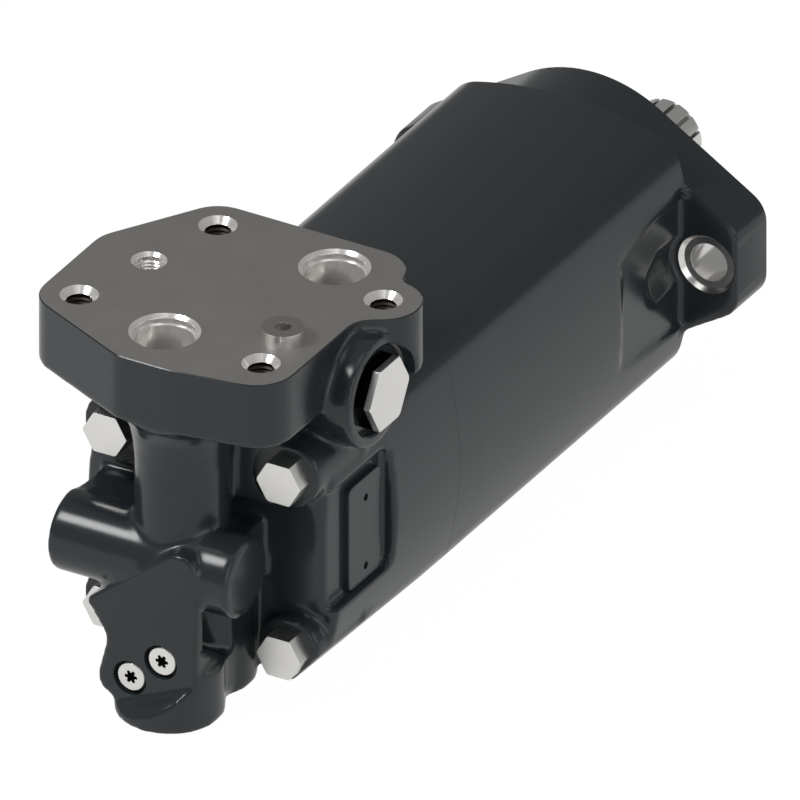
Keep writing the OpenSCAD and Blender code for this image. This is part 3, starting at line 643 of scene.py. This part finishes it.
def valve_bores():
    """The tools that cut the holes of the port face, the bolts, the plugs and the inside."""
    tap = [(0, -17.5), (TAP_R, -17.5)] + thread(TAP_R, TAP_CREST_R, -16.5, -2.15, 1.5)
    tap += [(TAP_MOUTH_R, 0), (TAP_MOUTH_R, CLEAR), (0, CLEAR)]
    drain = [(0, -15.8), (DRAIN_R, -15.8)] + thread(DRAIN_R, DRAIN_CREST_R, -15, -1.25, 1.27)
    drain += [(DRAIN_MOUTH_R, 0), (DRAIN_MOUTH_R, CLEAR), (0, CLEAR)]
    port = [(0, -PASSAGE_DEPTH), (PASSAGE_R, -PASSAGE_DEPTH), (PASSAGE_R, -PORT_DEPTH), (PORT_R, -PORT_DEPTH),
            (PORT_R, -3.4), (PORT_SEAT_R, -3.4), (PORT_SEAT_R, -1.25), (PORT_MOUTH_R, 0),
            (PORT_MOUTH_R, CLEAR), (0, CLEAR)]
    gallery = [(0, -292), (6.15, -292), (6.15, -281.6), (5.5, -281.6), (5.5, -277.5), (0, -277.5)]
    holes = [turned("z", (x, y, PORT_Z), tap) for x, y in TAPS]
    holes.append(turned("z", (*DRAIN, PORT_Z), drain))
    holes += [turned("z", (x, y, PORT_Z), port) for x, y in PORTS]
    holes += [bolt_room(y, z) for y, z in BOLTS]
    holes += [turned("x", (0, y, z), gallery) for y, z in GALLERIES]

    shuttle = [(0, -60), (16.3, -60), (16.3, -50.9), (15.5, -50.1), (15.5, -47.6),
               (9.3, -47.6), (9.3, -38), (6, -38), (6, 19), (0, 19)]
    selector = [(0, -20), (6.5, -20), (6.5, 33), (8.6, 33), (8.6, 46), (0, 46)]
    inside = [(0, -204.5), (27.5, -204.5), (27.5, -194.5), (30.5, -194.5), (30.5, -177.55),
              (33.05, -177.55), (33.05, -160), (0, -160)]
    return [joined(holes),
            turned("y", (SHUTTLE[0], 0, SHUTTLE[1]), shuttle),
            turned("y", (SELECTOR[0], 0, SELECTOR[1]), selector),
            turned("x", CENTRE, inside, FINE),
            seal_groove(SEAM_REAR - SEAL_DEPTH, -160)]


def on_port_face(p, n):
    return p.z > PORT_Z - 0.02 and n.z > 0.99


def in_bore(p, n):
    """Chamfers of the tapped holes, and the whole walls of the ports and the drain."""
    depth = PORT_Z - p.z
    rows = [(TAPS, TAP_MOUTH_R, 2.2), (PORTS, PORT_MOUTH_R, PORT_DEPTH + 0.2), ([DRAIN], DRAIN_MOUTH_R, 16),
            (PORTS, PASSAGE_R + 0.1, PASSAGE_DEPTH + 1)]
    return depth > 0.01 and any(depth < end and within(centres, p.x, p.y, radius + 0.1)
                                for centres, radius, end in rows)


def in_tap(p, n):
    """The threads of the tapped holes, which get the dark steel of painted shade."""
    return 2.15 < PORT_Z - p.z < 18 and within(TAPS, p.x, p.y, 5.2)


def valve_casting():
    bm = merged_copy("valve_housing")
    draw_out(bm, (0, 0, 1), PORT_Z)
    draw_out(bm, (1, 0, 0), SEAM_REAR)
    obj = recast("valve_casting", joined([bm] + valve_plugs() + valve_additions()), VALVE_VOXEL, 0, [])
    carve(obj, [name_pocket()])
    bm = grab(obj)
    slice_off(bm, BOSS_TRIM, BOSS_TRIM_LEVEL)
    obj = recast("valve_casting", bm, VALVE_VOXEL, 9, [case_paint, face_steel, bore_steel, hole_shade_steel])
    reopen(obj, ((0, 0, 1), PORT_Z, 0), ((1, 0, 0), SEAM_REAR, 0.35))
    carve(obj, [block_front()], "UNION")
    carve(obj, valve_bores())
    dress(obj, [(face_steel, on_port_face), (bore_steel, in_bore), (hole_shade_steel, in_tap)])
    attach(obj, "case")
    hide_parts("valve_housing")


def name_pad():
    """The blank pad in the pocket, with two blind holes."""
    face_y = -44
    bm = box((-235, face_y, -18), (-214.5, -41, 20.5))
    soften(bm, along_y(bm), 2.4, 5)
    rim = [e for e in bm.edges if all(v.co.y / MM < face_y + 0.1 for v in e.verts)]
    soften(bm, rim, 0.35, 2)
    obj = piece("name_pad", bm, [case_paint])
    carve(obj, [bar("y", 1.3, -50, -42.2, PAD_X, z, 24) for z in PAD_HOLES_Z])
    shade(obj.data, 15)
    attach(obj, "case")


# ---------- front casting ----------

SEAM_FRONT = -155.4  # joint with the front of the geroler ring
FRONT_STOCK = SEAM_FRONT - STOCK
FLANGE_HOLES = (-53.2, 53.2)  # y
FLANGE_BACK = -19.6
FLANGE_SKIN = 0.998  # the crisp flange side lies this much inside the melted one
SPOT_FACE_X = -18
FLANGE_HOLE_R, SPOT_FACE_R, EAR_RECESS_R = 6.8, 9.35, 10.9
# lower edge of the relief behind the left ear, mirrored upward and to the right
EAR_RELIEF = ((-63.5, 45.9, -20.6), (FLANGE_BACK, 42.9, -25.4), (FLANGE_BACK, 62, -25.4), (-63.5, 62, -20.6))
SPANNER_ROOM = [(0, -46), (6, -45), (10.5, -42), (13.5, -36), (13.5, FLANGE_BACK), (0, FLANGE_BACK)]
PILOT_R, PILOT_HEIGHT, PILOT_CHAMFER = 41.275, 6.35, 0.8
FRONT_VOXEL = 1.0


def ramps():
    """The relief behind each flange ear, and the spanner room round its hole."""
    tools = []
    for side, hole in zip((-1, 1), FLANGE_HOLES):
        bm = bmesh.new()
        face = bm.faces.new([bm.verts.new(Vector((x, side * y, z)) * MM) for x, y, z in EAR_RELIEF])
        grown = bmesh.ops.extrude_face_region(bm, geom=[face])["geom"]
        for v in grown:
            if isinstance(v, bmesh.types.BMVert):
                v.co.z = -v.co.z
        bmesh.ops.recalc_face_normals(bm, faces=bm.faces)
        tools.append(bm)
        tools.append(turned("x", (0, hole, 0), SPANNER_ROOM, 48))
    return tools


def flange_blank():
    """The flange outline as one convex block, longer than the flange and a hair smaller than its skin."""
    bm = merged_copy("front_housing")
    rim = [v.co.copy() for v in bm.verts if abs(v.co.x) < 1e-5]
    bm.clear()
    for x in (-30, 10):
        for point in rim:
            bm.verts.new((x * MM, point.y * FLANGE_SKIN, point.z * FLANGE_SKIN))
    bmesh.ops.convex_hull(bm, input=bm.verts[:])
    drop_loose(bm)
    return bm


def front_plugs():
    """Bars that close the bores, as in the valve casting."""
    fill = [bar("x", 37, FRONT_STOCK, STOCK, steps=FINE)]
    fill += [bar("x", 5.6, FRONT_STOCK, -19, y, z) for y, z in BOLTS]
    fill += [bar("x", 7, FLANGE_BACK, STOCK, y, 0) for y in FLANGE_HOLES]
    fill += [bar("x", 9.5, FLANGE_BACK, -17, y, 0) for y in FLANGE_HOLES]
    return fill


def front_bores():
    """The tools that cut the shaft's bore, the bolt and flange holes and the seal groove."""
    inside = [(0, -160), (26, -160), (26, -115), (28, -115), (28, -9), (21, -9), (21, -1.1), (22.4, -1.1),
              (22.4, 0.5), (21, 0.5), (21, 12), (0, 12)]
    flange_hole = [(0, -27), (EAR_RECESS_R, -27), (10.8, -19.9), (SPOT_FACE_R, SPOT_FACE_X),
                   (FLANGE_HOLE_R, SPOT_FACE_X), (FLANGE_HOLE_R, 3), (0, 3)]
    holes = [bar("x", 4.75, -160, -128.4, y, z) for y, z in BOLTS]
    holes += [turned("x", (0, y, 0), flange_hole) for y in FLANGE_HOLES]
    return [turned("x", CENTRE, inside, FINE), joined(holes), seal_groove(-160, SEAM_FRONT + SEAL_DEPTH)]


def in_ear_hole(p, n):
    """Wall, spot face and flared rim of the flange holes."""
    if not -20.4 < p.x < -0.02:
        return False
    wall = 6.9 if p.x > -17.9 else 9.4 + max(0, SPOT_FACE_X - p.x) * 0.763
    return any(math.hypot(p.y - y, p.z) < wall for y in FLANGE_HOLES)


def on_mounting_face(p, n):
    return p.x > -0.02 and math.hypot(p.y, p.z) > 21.2


def front_casting():
    whole = piece("front_whole", merged_copy("front_housing"), [])
    body = piece("front_trunk", trunk(FRONT_STOCK, -13), [])
    for solid in (whole, body):
        carve(solid, ramps())
    bm = joined([grab(whole), grab(body)])
    draw_out(bm, (1, 0, 0), 0)
    obj = recast("front_casting", joined([bm] + front_plugs()), FRONT_VOXEL, 8, [case_paint, ear_steel])
    reopen(obj, ((1, 0, 0), 0, 0), ((-1, 0, 0), -SEAM_FRONT, 0.25))
    outside = piece("outside", box((-19.1, -75, -75), (3, 75, 75)), [])
    carve(outside, [flange_blank()])
    carve(obj, [grab(outside)])
    pilot = [(0, -3), (PILOT_R, -3), (PILOT_R, PILOT_HEIGHT - PILOT_CHAMFER),
             (PILOT_R - PILOT_CHAMFER, PILOT_HEIGHT), (0, PILOT_HEIGHT)]
    carve(obj, [turned("x", CENTRE, pilot, 128)], "UNION")
    carve(obj, front_bores())
    dress(obj, [(ear_steel, in_ear_hole), (ear_steel, on_mounting_face)])
    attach(obj, "case")
    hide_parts("front_housing")


# ---------- small parts ----------

SCREW_PLUG = [(0, -277.7), (5.2, -277.7), (5.2, -283.6), (4.8, BLOCK_X), (0, BLOCK_X)]
STAR_R, LOBE_R, LOBE_CENTRE_R = 1.55, 0.62, 1.75  # six-lobed socket
END_TURNS = 1.2  # closed coils at each end of a spring


# the six-lobed sockets of the small plugs, which get the dark steel of painted shade
def in_socket(p, n):
    return -283.95 < p.x < -280.5 and within(GALLERIES, p.y, p.z, 2.6)


def gallery_plugs():
    parts = []
    for y, z in GALLERIES:
        obj = piece("plug_blank", turned("x", (0, y, z), SCREW_PLUG, 48), [])
        star = [bar("x", STAR_R, -286, -281, y, z, 24)]
        for i in range(6):
            a, b = LOBE_CENTRE_R * math.cos(i * math.pi / 3), LOBE_CENTRE_R * math.sin(i * math.pi / 3)
            star.append(bar("x", LOBE_R, -286, -281, y + a, z + b, 16))
        carve(obj, star)
        parts.append(grab(obj))
    obj = piece("gallery_screw_plugs", joined(parts), [plug_steel, hole_shade_steel])
    dress(obj, [(hole_shade_steel, in_socket)])
    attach(obj, "case")
    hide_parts("gallery_plugs")


def coil(axis, place, radius, wire, length, turns):
    """A wound spring with closed end coils, as the frame has it but round."""
    bm = bmesh.new()
    bmesh.ops.create_circle(bm, cap_ends=False, segments=14, radius=wire / 2 * MM)
    stand = Matrix.Translation(Vector((radius, 0, wire / 2)) * MM) @ Matrix.Rotation(math.pi / 2, 4, "X")
    bmesh.ops.transform(bm, matrix=stand, verts=bm.verts)
    closed = wire * 1.06
    open_turns = turns - 2 * END_TURNS
    live = (length - wire - 2 * END_TURNS * closed) / open_turns
    end = bm.verts[:] + bm.edges[:]
    for count, pitch in ((END_TURNS, closed), (open_turns, live), (END_TURNS, closed)):
        steps = round(count * 40)
        end = bmesh.ops.spin(bm, geom=end, cent=CENTRE, axis=(0, 0, 1), angle=math.tau * count, steps=steps,
                             dvec=(0, 0, pitch * count / steps * MM))["geom_last"]
    bmesh.ops.holes_fill(bm, edges=[e for e in bm.edges if e.is_boundary], sides=0)
    bmesh.ops.recalc_face_normals(bm, faces=bm.faces)
    bmesh.ops.transform(bm, matrix=Matrix.Translation(Vector(place) * MM) @ TURN[axis], verts=bm.verts)
    return bm


def springs():
    """Each spring is a coil set between the case and the spool that it pushes.

    A row has: name, node, body, foot of the coil, (radius, wire, length, turns), and the y of the
    end that stays and of the end that moves.
    """
    x, z = SHUTTLE
    rows = [
        ("left_centring_spring", "shuttle_spring_left", "shuttle", (x, 3.6, z), (4.2, 1, 15.2, 6), 18.8, 3.6),
        ("right_centring_spring", "shuttle_spring_right", "shuttle", (x, -43.9, z), (4.2, 1, 19.6, 7),
         -43.9, -24.3),
        ("return_spring", "selector_spring", "selector", (SELECTOR[0], -19.9, 0), (4.9, 1.1, 18.6, 5),
         -19.9, -1.3),
    ]
    for name, node, body, place, sizes, still, moving in rows:
        obj = piece(name, coil("y", place, *sizes), [FINISH["spring_steel"]], 40)
        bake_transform(obj)
        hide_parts(node)


front_casting()
valve_casting()
name_pad()
gallery_plugs()
springs()


# ---------- camera, floor and light ----------

PHOTO_WIDTH = 800  # pixels
PHOTO_SCALE = 3.092  # pixels per millimetre
SIGHT = Vector((0.75, 0.4330127, -0.5))  # 30 degrees off the shaft's axis and 30 degrees down
AIM = Vector((-59.9, 38.1, -56.8)) * MM


def camera():
    data = bpy.data.cameras.new("view_camera")
    cam = bpy.data.objects.new("view_camera", data)
    scene.collection.objects.link(cam)
    data.type = "ORTHO"
    data.ortho_scale = PHOTO_WIDTH / PHOTO_SCALE * MM
    cam.location = AIM - SIGHT * 1.2
    cam.rotation_mode = "QUATERNION"
    cam.rotation_quaternion = SIGHT.to_track_quat("-Z", "Y")
    data.clip_start, data.clip_end = 0.05, 8
    scene.camera = cam


def floor():
    """A pale floor that the camera, and in part a reflection, sees as plain white."""
    f = Finish("floor_white", Roughness=0.9, Base_Color=rgb((0.86, 0.86, 0.86)))
    seen = f.node("ShaderNodeLightPath", out="Is Camera Ray")
    shine = Val(f.tree, seen.socket.node.outputs["Is Glossy Ray"])
    glow = f.node("ShaderNodeEmission", Strength=1.02)
    mix = f.node("ShaderNodeMixShader", _0=(seen * 0.97 + shine * 0.6).clamp())
    inputs = mix.socket.node.inputs
    f.tree.links.new(f.surface.outputs[0], inputs[1])
    f.tree.links.new(glow.socket, inputs[2])
    f.tree.links.new(mix.socket, f.out.inputs[0])
    bm = bmesh.new()
    bmesh.ops.create_grid(bm, x_segments=1, y_segments=1, size=4)
    bmesh.ops.translate(bm, verts=bm.verts, vec=(0, 0, cad_low.z - 0.0006))
    mesh = bpy.data.meshes.new("floor")
    bm.to_mesh(mesh)
    bm.free()
    obj = bpy.data.objects.new("floor", mesh)
    obj.data.materials.append(f.material)
    scene.collection.objects.link(obj)


def lamp(name, power, size, place, target=(-0.12, 0, 0)):
    """A square area light in watts and metres, turned to a target."""
    data = bpy.data.lights.new(name, "AREA")
    data.energy, data.size = power, size
    obj = bpy.data.objects.new(name, data)
    obj.location = place
    obj.rotation_mode = "QUATERNION"
    obj.rotation_quaternion = (Vector(target) - Vector(place)).to_track_quat("-Z", "Y")
    scene.collection.objects.link(obj)


def sky():
    """White where the camera looks past the part, a dim grey for the light on it."""
    world = bpy.data.worlds.new("studio")
    scene.world = world
    world.use_nodes = True
    tree = world.node_tree
    tree.nodes.clear()
    path = tree.nodes.new("ShaderNodeLightPath")
    seen = Val(tree, path.outputs["Is Camera Ray"])
    shine = Val(tree, path.outputs["Is Glossy Ray"])
    clear = Val(tree, path.outputs["Is Transmission Ray"])
    back = tree.nodes.new("ShaderNodeBackground")
    dim = 0.34
    power = dim + (1 - dim) * (seen + shine * 0.04 + clear).clamp()
    tree.links.new(power.socket, back.inputs["Strength"])
    out = tree.nodes.new("ShaderNodeOutputWorld")
    tree.links.new(back.outputs[0], out.inputs[0])


camera()
floor()
sky()
lamp("key_soft", 5.5, 0.32, (-0.80, 0.48, 0.84), (-0.24, 0, 0))
lamp("front_soft", 2.6, 0.8, (-0.75, -0.85, 0.35))
lamp("side_soft", 1.1, 0.6, (0.25, -1.0, 0.35))
lamp("top_soft", 1.1, 0.6, (-0.42, -0.16, 1.15), (-0.288, 0, -0.045))

scene.view_settings.view_transform = "Standard"
